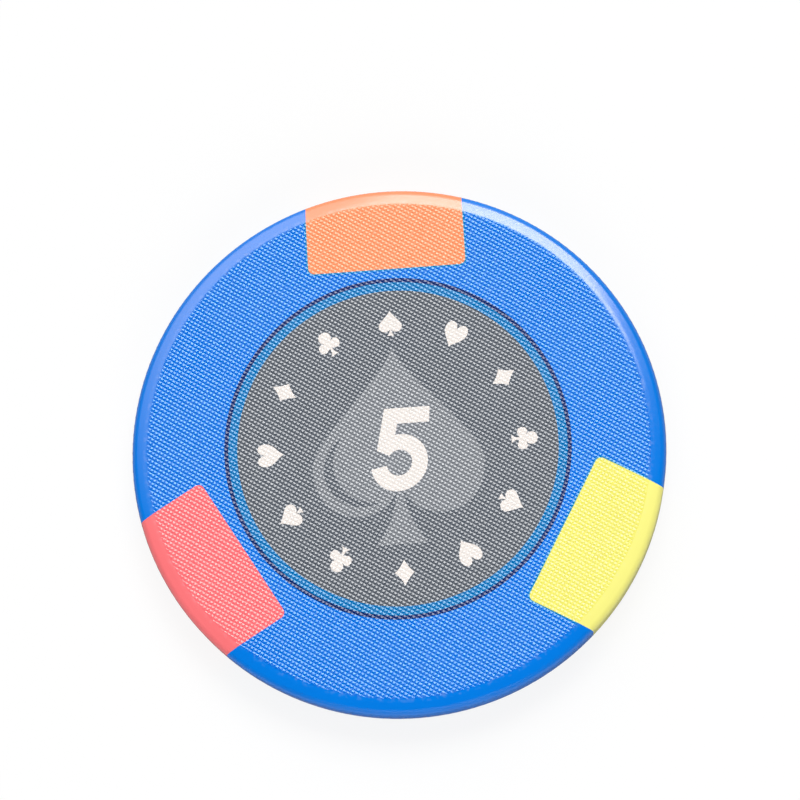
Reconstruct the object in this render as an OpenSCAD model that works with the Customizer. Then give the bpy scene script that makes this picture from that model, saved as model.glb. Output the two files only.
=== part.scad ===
// Poker chip, lying flat with its front face up and the numeral's top towards +Y.
// The origin is on the table, under the chip's centre.
// A moulded ring grips a steel weight in a groove around its inside. Three coloured edge
// spots are locked into the ring by hidden heads, and a printed inlay closes each side
// of the ring over the weight. The prints are thin films that lie flush in the faces.

/* [Chip] */
// Outside diameter of the chip
chip_diameter = 39; // [38:0.5:44]
// Height of the chip from face to face
chip_thickness = 3.4; // [3.2:0.1:4]
// Width of the smooth sloping band around each face
bevel_width = 0.7; // [0.5:0.1:1.2]
// Fall of the sloping band from its inner edge to its outer edge
bevel_drop = 0.2; // [0.1:0.05:0.4]
// Radius that rounds the sloping band into the side wall
edge_radius = 0.6; // [0.2:0.05:0.8]

/* [Edge spots] */
// Width of a spot between its straight sides
spot_width = 11.6; // [8:0.1:13]
// Thickness of the ring that is left between the weight and a spot
spot_wall = 0.9; // [0.6:0.05:1.5]
// Radius of a spot's two inner corners
spot_corner = 0.45; // [0.2:0.05:0.8]
// How far a spot's hidden head reaches past each straight side
head_reach = 0.8; // [0.4:0.1:1.2]
// Length of the hidden head along the chip's radius
head_length = 1.6; // [1:0.1:2]
// Height of the hidden head
head_height = 1.2; // [0.8:0.1:1.6]

/* [Weight and inlays] */
// Width of the coloured band between each inlay and the chip's rim
band_width = 7.8; // [6.5:0.1:9]
// Thickness of each inlay, and of the lip beside it that holds the weight
inlay_thickness = 0.6; // [0.4:0.05:0.8]
// How far each lip reaches over the weight's edge
lip_reach = 0.75; // [0.5:0.05:1]
// Gap around each round or moulded-in piece
fit_gap = 0.02; // [0.01:0.01:0.05]

/* [Print] */
// Thickness of every printed film
print_depth = 0.1; // [0.05:0.05:0.2]
// Bare band between the inlay and the ring line around it
line_gap = 0.65; // [0.4:0.05:0.7]
// Width of the ring line
line_width = 0.3; // [0.2:0.05:0.4]
// Height of the large spade, as a share of the inlay's diameter
spade_share = 0.63; // [0.5:0.005:0.64]
// Width of the large spade across its lobes, as a share of its height
spade_aspect = 0.85; // [0.7:0.01:1]
// Height of the spade's middle above the inlay's centre, as a share of the inlay's diameter
spade_rise_share = 0.0085; // [0:0.0005:0.012]
// Height of the numeral, as a share of the inlay's diameter
numeral_share = 0.263; // [0.2:0.001:0.3]
// Width of the numeral before it is slanted, as a share of its height
numeral_aspect = 0.675; // [0.55:0.005:0.75]
// Thickness of the numeral's strokes, as a share of its height
stroke_share = 0.187; // [0.13:0.001:0.19]
// Lean of the numeral to the right, in degrees
numeral_slant = 5; // [0:1:12]
// Depth of the numeral's middle below the inlay's centre, and its distance to the right of
// the centre, as shares of the inlay's diameter
numeral_drop_share = 0.009; // [0:0.001:0.012]
numeral_shift_share = 0.007; // [0:0.001:0.012]
// Number of times the four small suit pips go round the inlay
pip_rounds = 3; // [1:1:4]
// Height of a small pip, as a share of the inlay's diameter
pip_share = 0.081; // [0.06:0.001:0.095]
// Width of a small pip, as a share of its height
pip_aspect = 0.9; // [0.7:0.01:1]
// Bare band between the pips and the inlay's edge, as a share of the inlay's diameter
pip_margin_share = 0.064; // [0.04:0.001:0.085]

/* [Hidden] */
$fn = 96;

// Cuts run this far past the face that they open
overcut = 1;
// Straight steps in each rounded rim, in the bowl of the numeral, and in each curve of
// the large spade and of a small pip
edge_steps = 6;
bowl_steps = 24;
spade_steps = 14;
pip_steps = 6;

// Rim: the sloping band meets its rounding without a crease
chip_radius = chip_diameter / 2;
bevel_angle = atan(bevel_drop / bevel_width);
edge_centre_r = chip_radius - edge_radius;
edge_centre_drop = bevel_drop + edge_radius * cos(bevel_angle);
field_radius = edge_centre_r + edge_radius * sin(bevel_angle) - bevel_width;

// Weight and its lips
inlay_radius = chip_radius - band_width;
slug_radius = inlay_radius + lip_reach;
slug_thickness = chip_thickness - 2 * inlay_thickness;

// Edge spots, as directions from the chip's centre
spot_inner = slug_radius + fit_gap + spot_wall;
spot_angles = [90, -30, 210];

// Ring line
line_inner = inlay_radius + line_gap;
line_outer = line_inner + line_width;

// Picture on an inlay, which keeps its proportions at any size of the inlay
inlay_diameter = 2 * inlay_radius;
spade_height = spade_share * inlay_diameter;
spade_width = spade_aspect * spade_height;
spade_rise = spade_rise_share * inlay_diameter;
numeral_height = numeral_share * inlay_diameter;
numeral_width = numeral_aspect * numeral_height;
numeral_stroke = stroke_share * numeral_height;
numeral_drop = numeral_drop_share * inlay_diameter;
numeral_shift = numeral_shift_share * inlay_diameter;
pip_height = pip_share * inlay_diameter;
pip_width = pip_aspect * pip_height;
pip_margin = pip_margin_share * inlay_diameter;
pip_radius = inlay_radius - pip_margin - pip_height / 2;

// Numeral: shares of its size, the extra lean of its stem, and the directions where its
// open bowl starts and ends
bowl_share = 0.684;
stem_share = 0.097;
stem_lean = 8;
bowl_start = 144;
bowl_end = -169;

// Right-hand half of each suit, from its top or its point round to the other end: cubic
// curves, whose points are shares of the suit's width and height
spade_half = [
    [[0, 0.5], [0.03, 0.35], [0.5, 0.05], [0.5, -0.1]],
    [[0.5, -0.1], [0.5, -0.41], [0.1, -0.41], [0.02, -0.235]],
    [[0.02, -0.235], [0.03, -0.34], [0.09, -0.44], [0.15, -0.5]]
];
heart_half = [
    [[0, -0.5], [0.08, -0.3], [0.5, -0.12], [0.5, 0.2]],
    [[0.5, 0.2], [0.5, 0.6], [0.06, 0.6], [0, 0.24]]
];
diamond_half = [
    [[0, 0.5], [0.09, 0.32], [0.25, 0.12], [0.42, 0]],
    [[0.42, 0], [0.25, -0.12], [0.09, -0.32], [0, -0.5]]
];
club_half = [
    [[0, 0.5], [0.34, 0.5], [0.34, 0.12], [0.13, 0.06]],
    [[0.13, 0.06], [0.62, 0.36], [0.62, -0.56], [0.05, -0.2]],
    [[0.05, -0.2], [0.05, -0.36], [0.1, -0.47], [0.22, -0.5]]
];
pip_suits = [spade_half, heart_half, diamond_half, club_half];
pip_count = pip_rounds * len(pip_suits);
// Crescent in the large spade's left lobe, where the inlay shows: the middle and the radius
// of its outer and inner circles, as shares of the spade's width
crescent_outer = [[-0.214, -0.136], 0.221];
crescent_inner = [[-0.144, -0.101], 0.235];

body_blue = [0.07, 0.42, 0.86];
line_navy = [0.05, 0.14, 0.33];
slug_steel = [0.62, 0.63, 0.65];
spot_orange = [0.98, 0.55, 0.36];
spot_yellow = [0.93, 0.93, 0.4];
spot_red = [0.98, 0.36, 0.42];
inlay_grey = [0.3, 0.33, 0.37];
spade_grey = [0.45, 0.47, 0.5];
print_white = [0.96, 0.94, 0.91];

// Point on a cubic curve with four control points
function curve_point(c, t) =
    pow(1 - t, 3) * c[0] + 3 * t * pow(1 - t, 2) * c[1]
    + 3 * pow(t, 2) * (1 - t) * c[2] + pow(t, 3) * c[3];
// Points along the curves of a half suit, with each point where two curves meet given once
function half_points(half, steps) = concat(
    [for (c = half) for (i = [0 : steps - 1]) curve_point(c, i / steps)],
    [half[len(half) - 1][3]]
);
// Closed outline of a half and its mirror image, which share the points on the axis
function both_halves(points) = concat(
    points,
    [for (i = [len(points) - 1 : -1 : 0]) if (points[i][0] > 0) [-points[i][0], points[i][1]]]
);
// Place across on the numeral's stem, at a height where it has leaned over
function on_stem(x, y) = x + y * tan(stem_lean);
// A point of the upright numeral, moved over by the slant
function leaned(p) = [p[0] + p[1] * tan(numeral_slant), p[1]];

// Solid disc with the rim that the whole chip shares
module chip_blank() {
    upper_rim = [
        for (i = [0 : edge_steps])
            let (turn = i * (90 - bevel_angle) / edge_steps)
            [
                edge_centre_r + edge_radius * cos(turn),
                chip_thickness - edge_centre_drop + edge_radius * sin(turn)
            ]
    ];
    lower_rim = [
        for (i = [edge_steps : -1 : 0])
            [upper_rim[i][0], chip_thickness - upper_rim[i][1]]
    ];
    rotate_extrude()
        polygon(concat(
            [[0, 0], [field_radius, 0]],
            lower_rim,
            upper_rim,
            [[field_radius, chip_thickness], [0, chip_thickness]]
        ));
}

// Moves a piece of the front face to the back face, upright when the chip is turned over
module turned_over() {
    translate([0, 0, chip_thickness])
        rotate([0, 180, 0])
            children();
}

// Film of the front face, flush with it, cut from a flat outline
module film() {
    translate([0, 0, chip_thickness - print_depth])
        linear_extrude(print_depth)
            children();
}

// Flat outline of a spot that points along +Y, open towards the rim
module spot_outline(gap) {
    width = spot_width + 2 * gap;
    corner = spot_corner + gap;
    inner = spot_inner - gap;
    outer = chip_radius + overcut;
    translate([-width / 2, inner + corner])
        square([width, outer - inner - corner]);
    translate([-width / 2 + corner, inner])
        square([width - 2 * corner, outer - inner]);
    for (side = [-1, 1])
        translate([side * (width / 2 - corner), inner + corner])
            circle(corner);
}

// Block of a spot with its hidden head, before the rim is cut to shape
module spot_block(angle, gap) {
    head_width = spot_width + 2 * (head_reach + gap);
    rotate([0, 0, angle - 90]) {
        translate([0, 0, -overcut])
            linear_extrude(chip_thickness + 2 * overcut)
                spot_outline(gap);
        translate([
            -head_width / 2,
            spot_inner + spot_corner - gap,
            (chip_thickness - head_height) / 2 - gap
        ])
            cube([head_width, head_length + 2 * gap, head_height + 2 * gap]);
    }
}

module edge_spot(index) {
    intersection() {
        chip_blank();
        spot_block(spot_angles[index], 0);
    }
}

// Ring line on the front face, or the groove that takes it
module ring_line(gap, height) {
    translate([0, 0, chip_thickness - print_depth])
        difference() {
            cylinder(r = line_outer + gap, h = height);
            translate([0, 0, -overcut])
                cylinder(r = line_inner - gap, h = height + 2 * overcut);
        }
}

// Flat outline of a suit, centred on the origin with its top towards +Y
module suit_outline(half, width, height, steps) {
    polygon([
        for (p = both_halves(half_points(half, steps)))
            [p[0] * width, p[1] * height]
    ]);
}

module crescent() {
    difference() {
        translate(crescent_outer[0] * spade_width)
            circle(crescent_outer[1] * spade_width);
        translate(crescent_inner[0] * spade_width)
            circle(crescent_inner[1] * spade_width);
    }
}

module spade_outline() {
    translate([0, spade_rise])
        difference() {
            suit_outline(spade_half, spade_width, spade_height, spade_steps);
            crescent();
        }
}

// Small pips in a ring, each with its top towards the rim
module pips_outline() {
    for (i = [0 : pip_count - 1])
        rotate(-i * 360 / pip_count)
            translate([0, pip_radius])
                suit_outline(pip_suits[i % len(pip_suits)], pip_width, pip_height, pip_steps);
}

// One closed outline: the top bar, the stem's inner side, the bowl's outer side round to
// its open end, the bowl's inner side back again, and the stem's foot at half height
module numeral_outline() {
    right = numeral_width / 2;
    top = numeral_height / 2;
    bar_bottom = top - numeral_stroke;
    stem_left = stem_share * numeral_width - right;
    stem_right = stem_left + numeral_stroke;
    bowl_outer = [right, bowl_share * top];
    bowl_inner = [right - numeral_stroke, bowl_share * top - numeral_stroke];
    bowl_y = bowl_outer[1] - top;
    joint_y = bowl_y + bowl_outer[1] * sin(acos(stem_right / bowl_outer[0]));
    bowl_joint = acos(on_stem(stem_right, joint_y) / bowl_outer[0]);
    outer_turn = (bowl_end - bowl_joint) / bowl_steps;
    inner_turn = (bowl_start - bowl_end) / bowl_steps;
    upright = concat(
        [[stem_left, 0], [on_stem(stem_left, top), top], [right, top], [right, bar_bottom]],
        [[on_stem(stem_right, bar_bottom), bar_bottom]],
        [for (i = [0 : bowl_steps])
            let (a = bowl_joint + i * outer_turn)
            [bowl_outer[0] * cos(a), bowl_y + bowl_outer[1] * sin(a)]],
        [for (i = [0 : bowl_steps])
            let (a = bowl_end + i * inner_turn)
            [bowl_inner[0] * cos(a), bowl_y + bowl_inner[1] * sin(a)]]
    );
    translate([numeral_shift, -numeral_drop])
        polygon([for (p = upright) leaned(p)]);
}

module inlay() {
    difference() {
        translate([0, 0, chip_thickness - inlay_thickness])
            cylinder(r = inlay_radius, h = inlay_thickness);
        translate([0, 0, chip_thickness - print_depth])
            linear_extrude(print_depth + overcut) {
                spade_outline();
                numeral_outline();
                pips_outline();
            }
    }
}

// The large spade lies around the numeral and stops short of any pip
module spade_film() {
    film()
        difference() {
            spade_outline();
            numeral_outline();
            pips_outline();
        }
}

module chip_body() {
    color(body_blue)
        difference() {
            chip_blank();
            translate([0, 0, -overcut])
                cylinder(r = inlay_radius + fit_gap, h = chip_thickness + 2 * overcut);
            translate([0, 0, inlay_thickness])
                cylinder(r = slug_radius + fit_gap, h = slug_thickness);
            for (angle = spot_angles)
                spot_block(angle, fit_gap);
            ring_line(fit_gap, print_depth + overcut);
            turned_over()
                ring_line(fit_gap, print_depth + overcut);
        }
}

module weight_slug() {
    color(slug_steel)
        translate([0, 0, inlay_thickness])
            cylinder(r = slug_radius, h = slug_thickness);
}

module edge_spot_orange() {
    color(spot_orange)
        edge_spot(0);
}

module edge_spot_yellow() {
    color(spot_yellow)
        edge_spot(1);
}

module edge_spot_red() {
    color(spot_red)
        edge_spot(2);
}

module front_inlay() {
    color(inlay_grey)
        inlay();
}

module front_ring_line() {
    color(line_navy)
        ring_line(0, print_depth);
}

module front_spade() {
    color(spade_grey)
        spade_film();
}

module front_numeral() {
    color(print_white)
        film()
            numeral_outline();
}

module front_pips() {
    color(print_white)
        film()
            pips_outline();
}

module back_inlay() {
    color(inlay_grey)
        turned_over()
            inlay();
}

module back_ring_line() {
    color(line_navy)
        turned_over()
            ring_line(0, print_depth);
}

module back_spade() {
    color(spade_grey)
        turned_over()
            spade_film();
}

module back_numeral() {
    color(print_white)
        turned_over()
            film()
                numeral_outline();
}

module back_pips() {
    color(print_white)
        turned_over()
            film()
                pips_outline();
}

chip_body();
weight_slug();
edge_spot_orange();
edge_spot_yellow();
edge_spot_red();
front_inlay();
front_ring_line();
front_spade();
front_numeral();
front_pips();
back_inlay();
back_ring_line();
back_spade();
back_numeral();
back_pips();
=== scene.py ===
import math

import bmesh
import bpy
from mathutils import Matrix, Vector


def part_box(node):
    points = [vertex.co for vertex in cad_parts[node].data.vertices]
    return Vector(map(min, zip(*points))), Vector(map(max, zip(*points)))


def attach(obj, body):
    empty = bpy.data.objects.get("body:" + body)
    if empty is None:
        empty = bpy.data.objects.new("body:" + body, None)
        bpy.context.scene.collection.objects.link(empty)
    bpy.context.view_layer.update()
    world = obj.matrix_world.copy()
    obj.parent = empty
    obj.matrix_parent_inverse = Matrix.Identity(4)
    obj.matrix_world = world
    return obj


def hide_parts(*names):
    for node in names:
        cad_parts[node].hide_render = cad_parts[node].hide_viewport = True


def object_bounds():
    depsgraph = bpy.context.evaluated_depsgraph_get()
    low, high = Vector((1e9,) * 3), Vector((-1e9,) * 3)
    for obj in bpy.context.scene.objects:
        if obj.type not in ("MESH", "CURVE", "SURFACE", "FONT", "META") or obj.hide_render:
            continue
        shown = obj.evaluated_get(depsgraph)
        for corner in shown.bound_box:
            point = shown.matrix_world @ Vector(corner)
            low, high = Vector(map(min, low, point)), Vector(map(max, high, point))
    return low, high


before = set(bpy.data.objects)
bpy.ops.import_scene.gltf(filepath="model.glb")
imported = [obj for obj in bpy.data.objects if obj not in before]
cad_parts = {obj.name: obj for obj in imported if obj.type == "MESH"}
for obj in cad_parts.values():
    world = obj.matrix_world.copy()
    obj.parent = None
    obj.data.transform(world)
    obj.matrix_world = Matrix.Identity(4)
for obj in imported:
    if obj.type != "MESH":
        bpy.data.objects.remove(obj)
cad_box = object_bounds()

MM = 0.001

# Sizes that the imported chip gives
CHIP_RADIUS = cad_box[1].x
CHIP_HEIGHT = cad_box[1].z
INLAY_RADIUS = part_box("front_inlay")[1].x
INLAY_THICKNESS = CHIP_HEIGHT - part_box("front_inlay")[0].z
SLUG_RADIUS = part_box("weight_slug")[1].x
SLUG_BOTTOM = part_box("weight_slug")[0].z
SLUG_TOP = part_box("weight_slug")[1].z
LINE_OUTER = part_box("front_ring_line")[1].x

# Sizes of the rim, the ring line and the spots, as in the solids
BAND_WIDTH = 0.7 * MM
BAND_FALL = 0.2 * MM
EDGE_RADIUS = 0.6 * MM
BAND_SLOPE = BAND_FALL / BAND_WIDTH
BAND_OUTER = CHIP_RADIUS - EDGE_RADIUS * (1 - math.sin(math.atan(BAND_SLOPE)))
FIELD_RADIUS = BAND_OUTER - BAND_WIDTH
LINE_INNER = LINE_OUTER - 0.3 * MM
SPOT_WIDTH = 11.6 * MM
SPOT_INNER = 13.37 * MM
SPOT_CORNER = 0.45 * MM
HEAD_REACH = 0.8 * MM
HEAD_LENGTH = 1.6 * MM
HEAD_HEIGHT = 1.2 * MM
SPOT_TURNS = {"orange": 0, "yellow": -120, "red": 120}

# The sloping band stays flat up to a loop just inside its rounded edge, and the crease
# between the band and the face is eased
BAND_HOLD = 0.03 * MM
CREASE_REACH = 0.35 * MM

# The embossed dots: low hipped roofs on a square lattice, with their ridges along the rows
# and a flat lane between one column and the next
DOT_PITCH = 0.282 * MM
DOT_HEIGHT = 0.035 * MM
DOT_RIDGE = 0.27 * DOT_PITCH
DOT_WIDTH = 0.92 * DOT_PITCH
DOT_HIP = (DOT_WIDTH - DOT_RIDGE) / 2
RIDGE_FLAT = 0.001 * MM
DOT_ROW_ANGLE = math.radians(-33.08)
DOT_CLEARANCE = 0.0005 * MM
DOT_VALLEY = CHIP_HEIGHT - DOT_CLEARANCE - DOT_HEIGHT
DOT_FIELD_RADIUS = 18.33 * MM
DIE_REACH = 18.8 * MM
DIE_THICKNESS = 0.5 * MM

RIM_SIDES = 180
EDGE_STEPS = 8
CREASE_STEPS = 6
CORNER_STEPS = 6
SMOOTH_ANGLE = math.radians(12)
DOT_SIDE_MATCH = math.cos(math.radians(0.8))
MERGE_DISTANCE = 0.0001 * MM
SLIVER_WIDTH = 0.0002 * MM
FLAKE_CORNERS = 16
TINY = 0.001 * MM


# Selecting and modelling


def clear_selection():
    bpy.ops.object.select_all(action="DESELECT")


def focus(piece):
    clear_selection()
    piece.select_set(True)
    bpy.context.view_layer.objects.active = piece


def settle(name):
    """Names the new object and puts its place into its mesh."""
    piece = bpy.context.object
    piece.name = name
    piece.data.name = name
    bpy.ops.object.transform_apply(location=True, rotation=True, scale=True)
    return piece


def select(piece, kind, wanted):
    """In edit mode, selects the vertices, edges or faces that pass the test."""
    bpy.ops.mesh.select_mode(type={"verts": "VERT", "edges": "EDGE", "faces": "FACE"}[kind])
    bpy.ops.mesh.select_all(action="DESELECT")
    mesh = bmesh.from_edit_mesh(piece.data)
    for element in getattr(mesh, kind):
        if wanted(element):
            element.select_set(True)
    mesh.select_flush_mode()
    bmesh.update_edit_mesh(piece.data)


def cut(piece, tool, operation="DIFFERENCE"):
    """Cuts a piece with a tool, or joins or crops it, and keeps the result as its mesh."""
    focus(piece)
    step = piece.modifiers.new("cut", "BOOLEAN")
    step.solver = "MANIFOLD"
    step.operation = operation
    step.object = tool
    bpy.ops.object.modifier_apply(modifier=step.name)


def copy_of(piece, name):
    copied = piece.copy()
    copied.data = piece.data.copy()
    copied.name = name
    copied.data.name = name
    bpy.context.collection.objects.link(copied)
    return copied


def discard(*tools):
    for tool in tools:
        bpy.data.objects.remove(tool)


def plug(radius, bottom, top):
    """A plain round tool that drills or fills between two heights."""
    clear_selection()
    bpy.ops.mesh.primitive_cylinder_add(
        vertices=RIM_SIDES, radius=radius, depth=top - bottom, location=(0, 0, (bottom + top) / 2))
    return settle("plug")


def drop_flakes(piece):
    """In edit mode, deletes the loose flakes that a cut can leave along an edge."""
    bpy.ops.mesh.select_mode(type="VERT")
    bpy.ops.mesh.select_all(action="DESELECT")
    mesh = bmesh.from_edit_mesh(piece.data)
    waiting = set(mesh.verts)
    while waiting:
        part = [waiting.pop()]
        for corner in part:
            for edge in corner.link_edges:
                other = edge.other_vert(corner)
                if other in waiting:
                    waiting.remove(other)
                    part.append(other)
        if len(part) < FLAKE_CORNERS:
            for corner in part:
                corner.select_set(True)
    mesh.select_flush_mode()
    bmesh.update_edit_mesh(piece.data)
    bpy.ops.mesh.delete(type="VERT")


# The chip as one disc, which the body and the spots share


def chip_blank():
    """A disc with a straight wall, rounded edges, sloping bands and flat faces."""
    full_fall = (CHIP_RADIUS - FIELD_RADIUS) * BAND_SLOPE
    hold_width = CHIP_RADIUS - BAND_OUTER + BAND_HOLD
    clear_selection()
    bpy.ops.mesh.primitive_cylinder_add(
        vertices=RIM_SIDES, radius=CHIP_RADIUS, depth=CHIP_HEIGHT - 2 * full_fall,
        location=(0, 0, CHIP_HEIGHT / 2))
    blank = settle("chip_blank")
    bpy.ops.object.mode_set(mode="EDIT")
    select(blank, "faces", lambda face: abs(face.normal.z) > 0.9)
    for width in (hold_width, BAND_WIDTH - BAND_HOLD):
        bpy.ops.mesh.inset(thickness=width, depth=width * BAND_SLOPE)

    def on_ring(edge, radius, fall):
        """Whether an edge lies on a ring of either face, at a depth below the face."""
        for corner in edge.verts:
            depth = CHIP_HEIGHT / 2 - abs(corner.co.z - CHIP_HEIGHT / 2)
            if abs(corner.co.xy.length - radius) > TINY or abs(depth - fall) > TINY:
                return False
        return True

    select(blank, "edges", lambda edge: on_ring(edge, CHIP_RADIUS, full_fall))
    half_turn = (math.pi / 2 - math.atan(BAND_SLOPE)) / 2
    bpy.ops.mesh.bevel(offset=EDGE_RADIUS * math.tan(half_turn), segments=EDGE_STEPS, affect="EDGES")
    select(blank, "edges", lambda edge: on_ring(edge, FIELD_RADIUS, 0))
    bpy.ops.mesh.bevel(offset=CREASE_REACH, segments=CREASE_STEPS, affect="EDGES")
    bpy.ops.object.mode_set(mode="OBJECT")
    return blank


def spot_block(turn):
    """A block as wide as a spot, with rounded inner corners and the hidden heads of its sides."""
    outwards = Vector((-math.sin(turn), math.cos(turn), 0))
    length = CHIP_RADIUS - SPOT_INNER + MM
    middle = outwards * (SPOT_INNER + length / 2) + Vector((0, 0, CHIP_HEIGHT / 2))
    clear_selection()
    bpy.ops.mesh.primitive_cube_add(
        size=1, location=middle, rotation=(0, 0, turn), scale=(SPOT_WIDTH, length, CHIP_HEIGHT + MM))
    block = settle("spot_block")
    bpy.ops.object.mode_set(mode="EDIT")

    def inner_upright(edge):
        ends = [corner.co.dot(outwards) for corner in edge.verts]
        upright = abs(edge.verts[0].co.z - edge.verts[1].co.z) > CHIP_HEIGHT
        return upright and max(ends) < SPOT_INNER + TINY

    select(block, "edges", inner_upright)
    bpy.ops.mesh.bevel(offset=SPOT_CORNER, segments=CORNER_STEPS, affect="EDGES")
    bpy.ops.object.mode_set(mode="OBJECT")
    head_middle = outwards * (SPOT_INNER + SPOT_CORNER + HEAD_LENGTH) + Vector((0, 0, CHIP_HEIGHT / 2))
    clear_selection()
    bpy.ops.mesh.primitive_cube_add(
        size=1, location=head_middle, rotation=(0, 0, turn),
        scale=(SPOT_WIDTH + 2 * HEAD_REACH, HEAD_LENGTH, HEAD_HEIGHT))
    head = settle("spot_head")
    cut(block, head, "UNION")
    discard(head)
    return block


def embossing_die():
    """A plate with one hollow for each dot, which presses the dots into the front face."""
    squares = math.ceil(2 * DIE_REACH / DOT_PITCH)
    squeeze = 2 * DOT_HIP / DOT_PITCH
    clear_selection()
    bpy.ops.mesh.primitive_grid_add(
        x_subdivisions=squares, y_subdivisions=squares, size=squares * DOT_PITCH)
    bpy.context.object.scale.y = squeeze
    die = settle("front_die")
    bpy.ops.object.mode_set(mode="EDIT")

    def between_columns(edge):
        return not edge.is_boundary and abs(edge.verts[0].co.x - edge.verts[1].co.x) < TINY

    select(die, "edges", between_columns)
    bpy.ops.mesh.bevel(offset=(DOT_PITCH - DOT_WIDTH) / 2, segments=1, affect="EDGES")
    select(die, "faces", lambda face: face.calc_area() > DOT_PITCH * DOT_HIP)
    bpy.ops.mesh.inset(thickness=DOT_HIP - RIDGE_FLAT / 2, depth=DOT_HEIGHT, use_individual=True)
    bpy.ops.mesh.select_all(action="SELECT")
    bpy.ops.mesh.remove_doubles(threshold=2 * RIDGE_FLAT)
    bpy.ops.transform.resize(value=(1, 1 / squeeze, 1), center_override=(0, 0, 0))
    select(die, "edges", lambda edge: edge.is_boundary)
    bpy.ops.mesh.extrude_edges_move(TRANSFORM_OT_translate={"value": (0, 0, DIE_THICKNESS)})
    bpy.ops.mesh.edge_face_add()
    bpy.ops.mesh.select_all(action="SELECT")
    bpy.ops.mesh.normals_make_consistent(inside=False)
    bpy.ops.object.mode_set(mode="OBJECT")
    die.location = (0, 0, DOT_VALLEY)
    die.rotation_euler = (0, 0, DOT_ROW_ANGLE)
    die = settle("front_die")
    dot_field = plug(DOT_FIELD_RADIUS, CHIP_HEIGHT - DIE_THICKNESS, CHIP_HEIGHT + DIE_THICKNESS)
    cut(die, dot_field, "INTERSECT")
    discard(dot_field)
    return die


def dot_sides():
    """The directions that the four sides of a dot face, on the front and on the back."""
    end_tilt = math.atan(DOT_HEIGHT / DOT_HIP)
    long_tilt = math.atan(2 * DOT_HEIGHT / DOT_PITCH)
    sides = []
    for quarter, tilt in enumerate((end_tilt, long_tilt, end_tilt, long_tilt)):
        turn = DOT_ROW_ANGLE + quarter * math.pi / 2
        x = math.sin(tilt) * math.cos(turn)
        y = math.sin(tilt) * math.sin(turn)
        sides.append(Vector((x, y, math.cos(tilt))))
        sides.append(Vector((-x, y, -math.cos(tilt))))
    return sides


DOT_SIDES = dot_sides()
DOT_STEEPEST = min(abs(side.z) for side in DOT_SIDES) - 0.01
DOT_FLATTEST = max(abs(side.z) for side in DOT_SIDES) + 0.01


def on_dot(face):
    if not DOT_STEEPEST < abs(face.normal.z) < DOT_FLATTEST:
        return False
    return any(face.normal.dot(side) > DOT_SIDE_MATCH for side in DOT_SIDES)


def turned_over(tool, name):
    """A copy of a tool for the front face, turned over onto the back face."""
    copied = copy_of(tool, name)
    copied.location = (0, 0, CHIP_HEIGHT)
    copied.rotation_euler = (0, math.pi, 0)
    focus(copied)
    return settle(name)


def film_of(node_name):
    """A copy of a print's solid with its loose triangles joined."""
    film = copy_of(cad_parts[node_name], node_name + "_film")
    film.parent = None
    focus(film)
    bpy.ops.mesh.customdata_custom_splitnormals_clear()
    bpy.ops.object.mode_set(mode="EDIT")
    bpy.ops.mesh.select_all(action="SELECT")
    bpy.ops.mesh.remove_doubles(threshold=MERGE_DISTANCE)
    bpy.ops.object.mode_set(mode="OBJECT")
    return film


# Materials

FACE_ROUGHNESS = 0.19
RIM_ROUGHNESS = 0.2
GLOSS_SPREAD = 0.06
MOTTLE_SCALE = 420
GRAIN_SCALE = 5200
SPECK_SCALE = 2400
BUMP_STRENGTH = 0.2
BUMP_DEPTH = 0.01 * MM
WEAR_REACH = 0.3 * MM
WEAR_CORE = 0.05 * MM
WEAR_SHARE = 0.14
GAP_BLUE = (0, 112, 180)
SEAM_TEAL = (0, 140, 168)
SEAM_WIDTH = 0.15 * MM
RUBBED_PALE = (214, 222, 238)
PLAIN_GLINT = (1, 1, 1, 1)
AZURE_GLINT = (0.68, 0.94, 1, 1)
ROSY_GLINT = (1, 0.9, 0.8, 1)
WARM_GLINT = (1, 0.92, 0.84, 1)
COOL_GLINT = (0.4, 0.36, 1, 1)


def srgb(red, green, blue):
    """A colour as it is seen, 0 to 255, in the renderer's linear values."""
    linear = []
    for level in (red, green, blue):
        share = level / 255
        linear.append(share / 12.92 if share <= 0.04045 else ((share + 0.055) / 1.055) ** 2.4)
    return (*linear, 1)


def add_node(tree, kind, sockets=None, **settings):
    """Adds a node, sets its settings, and sets each socket or links it to another node's output."""
    node = tree.nodes.new(kind)
    for name, value in settings.items():
        setattr(node, name, value)
    for name, value in (sockets or {}).items():
        if isinstance(value, bpy.types.NodeSocket):
            tree.links.new(value, node.inputs[name])
        else:
            node.inputs[name].default_value = value
    return node


def blend_colours(tree, share, under, over):
    node = add_node(tree, "ShaderNodeMix", {"Factor": share, "A": under, "B": over}, data_type="RGBA")
    return node.outputs[2]


def ramp(tree, value, start, end, low=0, high=1):
    """A value that goes from low to high as another goes from start to end."""
    node = add_node(
        tree, "ShaderNodeMapRange",
        {"Value": value, "From Min": start, "From Max": end, "To Min": low, "To Max": high})
    return node.outputs["Result"]


def maths(tree, operation, *values):
    sockets = dict(enumerate(values))
    return add_node(tree, "ShaderNodeMath", sockets, operation=operation).outputs["Value"]


def noise(tree, place, scale, detail):
    return add_node(
        tree, "ShaderNodeTexNoise", {"Vector": place, "Scale": scale, "Detail": detail}).outputs["Fac"]


def fine_bump(tree, height):
    sockets = {"Height": height, "Strength": BUMP_STRENGTH, "Distance": BUMP_DEPTH}
    return add_node(tree, "ShaderNodeBump", sockets).outputs["Normal"]


def radius_at(tree, place):
    flat = add_node(tree, "ShaderNodeVectorMath", {0: place, 1: (1, 1, 0)}, operation="MULTIPLY")
    reach = add_node(tree, "ShaderNodeVectorMath", {0: flat.outputs["Vector"]}, operation="LENGTH")
    return reach.outputs["Value"]


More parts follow.
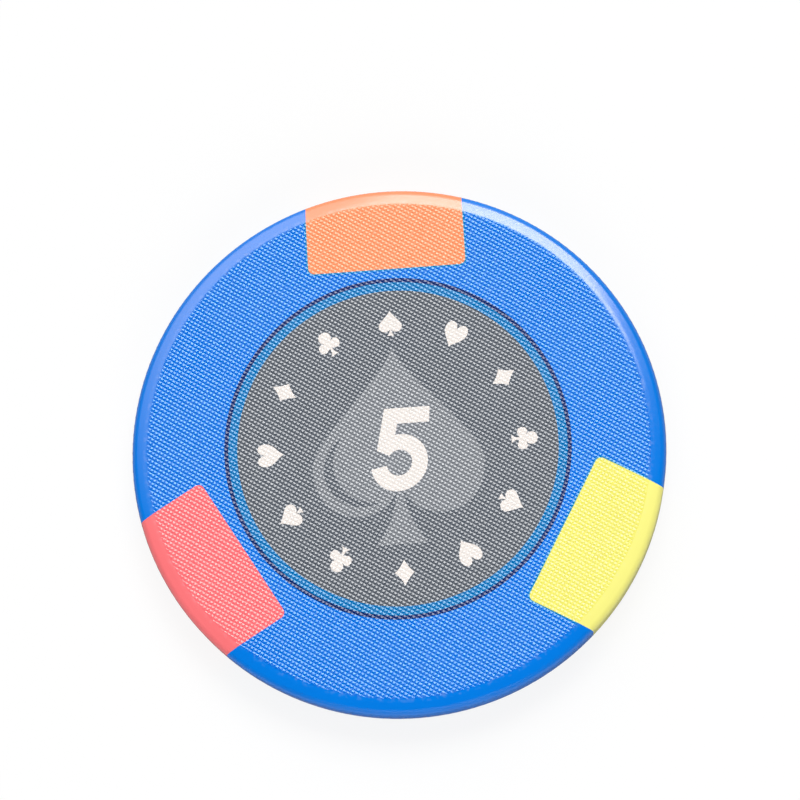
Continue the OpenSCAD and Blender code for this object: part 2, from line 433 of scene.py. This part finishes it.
def outside_spot(tree, place, turn):
    """How far a place on the body lies outside the outline of a spot."""
    level = add_node(tree, "ShaderNodeMapping", {"Vector": place, "Rotation": (0, 0, -turn)})
    axes = add_node(tree, "ShaderNodeSeparateXYZ", {"Vector": level.outputs["Vector"]})
    across = maths(tree, "ABSOLUTE", axes.outputs["X"])
    beside = maths(tree, "SUBTRACT", across, SPOT_WIDTH / 2 - SPOT_CORNER)
    below = maths(tree, "SUBTRACT", SPOT_INNER + SPOT_CORNER, axes.outputs["Y"])
    corner = add_node(tree, "ShaderNodeCombineXYZ", {"X": beside, "Y": below})
    clear = add_node(
        tree, "ShaderNodeVectorMath", {0: corner.outputs["Vector"], 1: (0, 0, 0)}, operation="MAXIMUM")
    reach = add_node(tree, "ShaderNodeVectorMath", {0: clear.outputs["Vector"]}, operation="LENGTH")
    return maths(tree, "SUBTRACT", reach.outputs["Value"], SPOT_CORNER)


def body_tints(tree, place, colour):
    """The greener blue inside the ring line, and the teal seam beside two of the spots."""
    inside = ramp(tree, radius_at(tree, place), LINE_INNER + 0.1 * MM, LINE_INNER)
    colour = blend_colours(tree, inside, colour, srgb(*GAP_BLUE))
    for spot in ("orange", "yellow"):
        away = outside_spot(tree, place, math.radians(SPOT_TURNS[spot]))
        seam = ramp(tree, away, SEAM_WIDTH, SEAM_WIDTH / 3, 0, 0.8)
        colour = blend_colours(tree, seam, colour, srgb(*SEAM_TEAL))
    return colour


def worn_crease(tree, place, colour):
    """Pale rubbed specks where the face meets the sloping band."""
    off_crease = maths(tree, "ABSOLUTE", maths(tree, "SUBTRACT", radius_at(tree, place), FIELD_RADIUS))
    near_crease = ramp(tree, off_crease, WEAR_REACH, WEAR_CORE)
    specks = noise(tree, place, SPECK_SCALE, 3)
    rubbed = maths(tree, "MULTIPLY", near_crease, ramp(tree, specks, 0.5, 0.75, 0, WEAR_SHARE))
    return blend_colours(tree, rubbed, colour, srgb(*RUBBED_PALE))


def satin_plastic(
        name, colour, shade, roughness=FACE_ROUGHNESS, shine=0.5, glint=PLAIN_GLINT, tints=()):
    """Moulded plastic or print film: a mottled colour, uneven gloss and a fine grain."""
    material = bpy.data.materials.new(name)
    material.use_nodes = True
    tree = material.node_tree
    tree.nodes.clear()
    place = add_node(tree, "ShaderNodeTexCoord").outputs["Object"]
    mottle = noise(tree, place, MOTTLE_SCALE, 3)
    grain = noise(tree, place, GRAIN_SCALE, 2)
    mottled = blend_colours(tree, mottle, srgb(*colour), srgb(*shade))
    for tint in tints:
        mottled = tint(tree, place, mottled)
    gloss = ramp(tree, grain, 0.3, 0.7, roughness - GLOSS_SPREAD, roughness + GLOSS_SPREAD)
    surface = add_node(
        tree, "ShaderNodeBsdfPrincipled",
        {"Base Color": mottled, "Roughness": gloss, "Normal": fine_bump(tree, grain),
         "IOR": 1.5, "Specular IOR Level": shine, "Specular Tint": glint})
    add_node(tree, "ShaderNodeOutputMaterial", {"Surface": surface.outputs["BSDF"]})
    return material


def polished(name, colour, shade, shine=0.88, glint=PLAIN_GLINT):
    """The same plastic where the mould is smooth, on the rim."""
    return satin_plastic(name, colour, shade, RIM_ROUGHNESS, shine, glint, (worn_crease,))


def punched_steel(name, colour, shade):
    """Bare sheet steel with a fine rolled grain."""
    material = bpy.data.materials.new(name)
    material.use_nodes = True
    tree = material.node_tree
    tree.nodes.clear()
    place = add_node(tree, "ShaderNodeTexCoord").outputs["Object"]
    drawn = add_node(tree, "ShaderNodeMapping", {"Vector": place, "Scale": (120, 2600, 2600)})
    grain = noise(tree, drawn.outputs["Vector"], 1, 4)
    rolled = blend_colours(tree, grain, srgb(*colour), srgb(*shade))
    gloss = ramp(tree, grain, 0.3, 0.7, 0.28, 0.44)
    surface = add_node(
        tree, "ShaderNodeBsdfPrincipled",
        {"Base Color": rolled, "Roughness": gloss, "Normal": fine_bump(tree, grain), "Metallic": 1})
    add_node(tree, "ShaderNodeOutputMaterial", {"Surface": surface.outputs["BSDF"]})
    return material


# The face colours are mostly set darker than the rim colours of the same plastics: painted shade of the
# embossed dot field
BLUE = satin_plastic(
    "blue_face", (0, 115, 222), (0, 110, 216), shine=0.69, glint=AZURE_GLINT,
    tints=(body_tints, worn_crease))
BLUE_RIM = polished("blue_rim", (0, 126, 230), (0, 122, 226), shine=0.94, glint=ROSY_GLINT)
SPOT_MATERIALS = {
    "orange": (
        satin_plastic("orange_face", (254, 150, 104), (250, 144, 96), shine=0.54, glint=WARM_GLINT),
        polished("orange_rim", (254, 150, 106), (250, 146, 100), shine=0.6)),
    "yellow": (
        satin_plastic("yellow_face", (243, 237, 113), (239, 232, 105), shine=0.5, glint=COOL_GLINT),
        polished("yellow_rim", (252, 247, 138), (248, 243, 132))),
    "red": (
        satin_plastic("red_face", (254, 113, 119), (250, 107, 115), shine=0.64, glint=WARM_GLINT),
        polished("red_rim", (254, 122, 126), (250, 118, 122)))}
GREY = satin_plastic("inlay_laminate", (88, 94, 103), (80, 87, 97), shine=0.75)
NAVY = satin_plastic("navy_print", (4, 42, 112), (2, 34, 98))
PALE_GREY = satin_plastic("pale_grey_print", (122, 126, 132), (116, 120, 127), shine=0.73)
WHITE = satin_plastic("white_print", (234, 227, 222), (229, 222, 217), shine=0.3)
STEEL = punched_steel("punched_steel", (172, 174, 178), (140, 142, 147))

PRINTS = {"ring_line": ("print_navy", NAVY), "spade": ("print_grey", PALE_GREY),
          "numeral": ("print_white", WHITE), "pips": ("print_white", WHITE)}


def finish_piece(piece, node_name, slot, face_material, rim_material=None):
    """Cleans and smooths a piece, gives it its materials and puts it in its node's place."""
    focus(piece)
    bpy.ops.object.mode_set(mode="EDIT")
    bpy.ops.mesh.select_all(action="SELECT")
    bpy.ops.mesh.dissolve_degenerate(threshold=SLIVER_WIDTH)
    drop_flakes(piece)
    select(piece, "faces", on_dot)
    bpy.ops.mesh.mark_sharp()
    bpy.ops.object.mode_set(mode="OBJECT")
    bpy.ops.object.shade_smooth_by_angle(angle=SMOOTH_ANGLE)
    piece.data.materials.clear()
    piece.data.materials.append(face_material)
    if rim_material:
        piece.data.materials.append(rim_material)
        bpy.ops.object.mode_set(mode="EDIT")
        select(piece, "faces", lambda face: face.calc_center_median().xy.length > DOT_FIELD_RADIUS)
        piece.active_material_index = 1
        bpy.ops.object.material_slot_assign()
        bpy.ops.object.mode_set(mode="OBJECT")
    piece.name = node_name + "_piece"
    piece.data.name = piece.name
    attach(piece, "root")
    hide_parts(node_name)


# Making the pieces

blank = chip_blank()
front_die = embossing_die()
back_die = turned_over(front_die, "back_die")
blocks = {colour: spot_block(math.radians(turn)) for colour, turn in SPOT_TURNS.items()}

body = copy_of(blank, "body")
for block in blocks.values():
    cut(body, block)
hole = plug(INLAY_RADIUS, -MM, CHIP_HEIGHT + MM)
groove = plug(SLUG_RADIUS, SLUG_BOTTOM, SLUG_TOP)
cut(body, hole)
cut(body, groove)
discard(hole, groove)
ring_films = [film_of(side + "_ring_line") for side in ("front", "back")]
for film in ring_films:
    cut(body, film)
cut(body, front_die)
cut(body, back_die)
finish_piece(body, "chip_body", "body_blue", BLUE, BLUE_RIM)

for colour, block in blocks.items():
    spot = copy_of(blank, "spot")
    cut(spot, block, "INTERSECT")
    cut(spot, front_die)
    cut(spot, back_die)
    finish_piece(spot, "edge_spot_" + colour, "spot_" + colour, *SPOT_MATERIALS[colour])

for side, die, bottom in (("front", front_die, CHIP_HEIGHT - INLAY_THICKNESS), ("back", back_die, 0)):
    inlay = plug(INLAY_RADIUS, bottom, bottom + INLAY_THICKNESS)
    for mark, (slot, material) in PRINTS.items():
        film = film_of(side + "_" + mark)
        if mark != "ring_line":
            cut(inlay, film)
        cut(film, die)
        finish_piece(film, side + "_" + mark, slot, material)
    cut(inlay, die)
    finish_piece(inlay, side + "_inlay", "inlay_grey", GREY)

discard(blank, front_die, back_die, *blocks.values(), *ring_films)
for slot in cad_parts["weight_slug"].material_slots:
    slot.material = STEEL

# Floor, light and camera

# The seen floor glows white, a little less so near the chip, where it shows the shadow
SHADOW_RADIUS = 25 * MM
WHITE_RADIUS = 150 * MM
NEAR_GLOW = 0.87
FAR_GLOW = 0.98
SEEN_PAPER = (0.88, 0.88, 0.88, 1)
BOUNCE_PAPER = (0.4, 0.4, 0.4, 1)

# The room's soft glow around the main lamp, over a dim room
GLOW_DIRECTION = (-0.1, 0.66, 0.745)
GLOW_RADIANCE = 2.6
GLOW_EDGE = 0.643
GLOW_CORE = 0.94
ROOM_LOW = 0.12
ROOM_HIGH = 0.01

clear_selection()
bpy.ops.mesh.primitive_plane_add(size=4, location=(0, 0, -0.02 * MM))
floor = settle("floor")
white_floor = bpy.data.materials.new("white_floor")
white_floor.use_nodes = True
tree = white_floor.node_tree
tree.nodes.clear()
bounce = add_node(tree, "ShaderNodeBsdfDiffuse", {"Color": BOUNCE_PAPER})
paper = add_node(tree, "ShaderNodeBsdfDiffuse", {"Color": SEEN_PAPER})
glow = add_node(tree, "ShaderNodeEmission", {"Color": (1, 1, 1, 1), "Strength": 1})
ray = add_node(tree, "ShaderNodeLightPath")
floor_place = add_node(tree, "ShaderNodeTexCoord").outputs["Object"]
glow_share = ramp(
    tree, radius_at(tree, floor_place), SHADOW_RADIUS, WHITE_RADIUS, NEAR_GLOW, FAR_GLOW)
seen = add_node(
    tree, "ShaderNodeMixShader",
    {"Fac": glow_share, 1: paper.outputs["BSDF"], 2: glow.outputs["Emission"]})
blend = add_node(
    tree, "ShaderNodeMixShader",
    {"Fac": ray.outputs["Is Camera Ray"], 1: bounce.outputs["BSDF"], 2: seen.outputs["Shader"]})
add_node(tree, "ShaderNodeOutputMaterial", {"Surface": blend.outputs["Shader"]})
floor.data.materials.append(white_floor)

scene = bpy.context.scene
scene.view_settings.view_transform = "Standard"

world = bpy.data.worlds.new("studio")
scene.world = world
world.use_nodes = True
tree = world.node_tree
tree.nodes.clear()
way = add_node(tree, "ShaderNodeTexCoord").outputs["Generated"]
rise = add_node(tree, "ShaderNodeSeparateXYZ", {"Vector": way}).outputs["Z"]
low_light = ramp(tree, rise, 0.2, 0.6, ROOM_LOW, ROOM_HIGH)
towards = add_node(
    tree, "ShaderNodeVectorMath", {0: way, 1: Vector(GLOW_DIRECTION).normalized()}, operation="DOT_PRODUCT")
near = ramp(tree, towards.outputs["Value"], GLOW_EDGE, GLOW_CORE)
below_zenith = ramp(tree, rise, 0.93, 0.86, 0, GLOW_RADIANCE)
glow_light = maths(tree, "MULTIPLY", maths(tree, "POWER", near, 2), below_zenith)
light = maths(tree, "ADD", low_light, glow_light)
room = add_node(tree, "ShaderNodeBackground", {"Color": (1, 1, 1, 1), "Strength": light})
backdrop = add_node(tree, "ShaderNodeBackground", {"Color": (1, 1, 1, 1), "Strength": 1})
ray = add_node(tree, "ShaderNodeLightPath")
blend = add_node(
    tree, "ShaderNodeMixShader",
    {"Fac": ray.outputs["Is Camera Ray"], 1: room.outputs["Background"], 2: backdrop.outputs["Background"]})
add_node(tree, "ShaderNodeOutputWorld", {"Surface": blend.outputs["Shader"]})

CHIP_TOP = Vector((0, 0, CHIP_HEIGHT))


def softbox(name, direction, distance, width, height, radiance):
    """A lamp that faces the chip from a direction."""
    direction = Vector(direction).normalized()
    clear_selection()
    bpy.ops.object.light_add(type="AREA", location=CHIP_TOP + direction * distance)
    lamp = bpy.context.object
    lamp.name = name
    lamp.rotation_euler = direction.to_track_quat("Z", "Y").to_euler()
    lamp.data.shape = "RECTANGLE"
    lamp.data.size = width
    lamp.data.size_y = height
    lamp.data.energy = radiance * math.pi * width * height
    return lamp


softbox("key_softbox", (0.18, 0.6, 0.785), 0.6, 0.34, 0.28, 6.9)
front_fill = softbox("front_fill", (0.0, -0.9, 0.4), 0.6, 0.5, 0.35, 5.1)
front_fill.visible_glossy = False

CAMERA_AIM = Vector((0.39, 3.448, 3.4)) * MM
CAMERA_BACK = Vector((0.04607, -0.21487, 0.97556)).normalized()
CAMERA_UP = Vector((0.06943, 0.97494, 0.21145))
CAMERA_DISTANCE = 212.1 * MM
CAMERA_LENS = 130.95

right = CAMERA_UP.cross(CAMERA_BACK).normalized()
up = CAMERA_BACK.cross(right)
clear_selection()
bpy.ops.object.camera_add()
camera = bpy.context.object
camera.matrix_world = (
    Matrix.Translation(CAMERA_AIM + CAMERA_BACK * CAMERA_DISTANCE)
    @ Matrix((right, up, CAMERA_BACK)).transposed().to_4x4())
camera.data.lens = CAMERA_LENS
camera.data.sensor_width = 36
camera.data.clip_start = 0.01
scene.camera = camera
